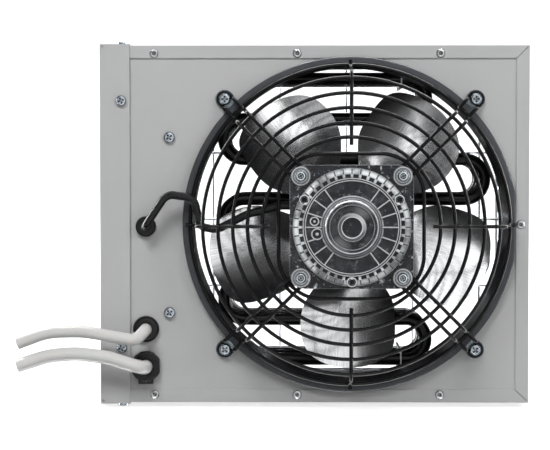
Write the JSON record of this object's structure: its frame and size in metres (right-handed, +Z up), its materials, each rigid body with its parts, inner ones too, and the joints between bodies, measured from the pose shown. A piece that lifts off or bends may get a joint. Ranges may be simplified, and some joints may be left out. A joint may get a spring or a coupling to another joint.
{
  "type": "fan-cooled liquid radiator",
  "caption": "Sheet-metal liquid radiator box with a serpentine tube coil, a guarded axial fan on its inlet face, a side connection compartment and white coolant hoses.",
  "frame": {"origin": "on the fan axis, in the plane of the air-outlet flange, which is the mounting face; it is also the centre of the mounting holes", "axes": "+X to the right seen from the fan side, +Y from the fan towards the air outlet, +Z up"},
  "size_m": [0.3575, 0.1638, 0.2572],
  "materials": {
    "painted_case": "light grey powder coat, fine texture",
    "coil_tube": "black stove enamel on copper tube, satin",
    "header_metal": "plain copper and brass, slightly dulled",
    "white_hose": "white silicone hose, satin",
    "zinc_steel": "zinc-plated pressed steel",
    "rivet_metal": "plain aluminium blind rivet",
    "black_rubber": "black rubber, matte",
    "black_nylon": "black moulded nylon",
    "white_nylon": "natural nylon",
    "wire_sleeve": "red PVC-sleeved wire",
    "black_moulding": "black moulded plastic, semi-gloss",
    "black_wire": "black dip-coated steel wire",
    "clear_cover": "clear moulded polycarbonate, polished",
    "dark_casting": "dark painted die casting",
    "core_steel": "stacked electrical steel",
    "copper_winding": "enamelled copper wire",
    "bearing_bronze": "oil-filled sintered bronze",
    "zinc_wire": "zinc-plated wire",
    "zinc_screw": "bright zinc plate",
    "black_screw": "black oxide",
    "shaft_steel": "ground steel",
    "rotor_steel": "rotor laminations",
    "hub_aluminium": "turned aluminium",
    "blade_aluminium": "brushed aluminium sheet"
  },
  "bodies": {
    "radiator": {"housing_shell": "painted_case", "fan_panel": "painted_case", "side_cover": "painted_case", "partition_plate": "painted_case", "coil_row_front": "coil_tube", "coil_row_middle": "coil_tube", "coil_row_rear": "coil_tube", "supply_header": "header_metal", "return_header": "header_metal", "riser_pipe": "header_metal", "supply_hose": "white_hose", "return_hose": "white_hose", "hose_clamps": "zinc_steel", "coil_hangers": "zinc_steel", "hanger_rivets": "rivet_metal", "return_grommet": "black_rubber", "cable_grommet": "black_rubber", "supply_gland": "black_nylon", "gland_nut": "black_nylon", "motor_cable": "black_rubber", "terminal_block": "white_nylon", "power_inlet": "black_nylon", "power_inlet_nut": "zinc_steel", "inlet_wires": "wire_sleeve", "fan_ring": "black_moulding", "fan_guard": "black_wire", "motor_front_cover": "clear_cover", "motor_rear_housing": "dark_casting", "stator_core": "core_steel", "stator_windings": "copper_winding", "front_bearing": "bearing_bronze", "rear_bearing": "bearing_bronze", "outlet_guard": "zinc_wire", "outlet_guard_clips": "zinc_steel", "panel_rivets": "rivet_metal", "side_cover_screws": "zinc_screw", "partition_screws": "zinc_screw", "clinch_nuts": "zinc_steel", "guard_washers": "zinc_screw", "guard_screws": "zinc_screw", "motor_corner_washers": "zinc_screw", "motor_corner_screws": "zinc_screw", "motor_corner_nuts": "zinc_steel", "motor_cover_screws": "black_screw"},
    "fan_rotor": {"motor_shaft": "shaft_steel", "rotor_core": "rotor_steel", "rotor_spacer": "shaft_steel", "thrust_washers": "white_nylon", "fan_hub": "hub_aluminium", "fan_blades": "blade_aluminium", "hub_rivets": "rivet_metal"}
  },
  "joints": [
    {"name": "fan_spin", "type": "hinge", "parent": "radiator", "child": "fan_rotor", "pos_m": [0, 0, 0], "axis": [0, 1, 0], "continuous": true}
  ]
}
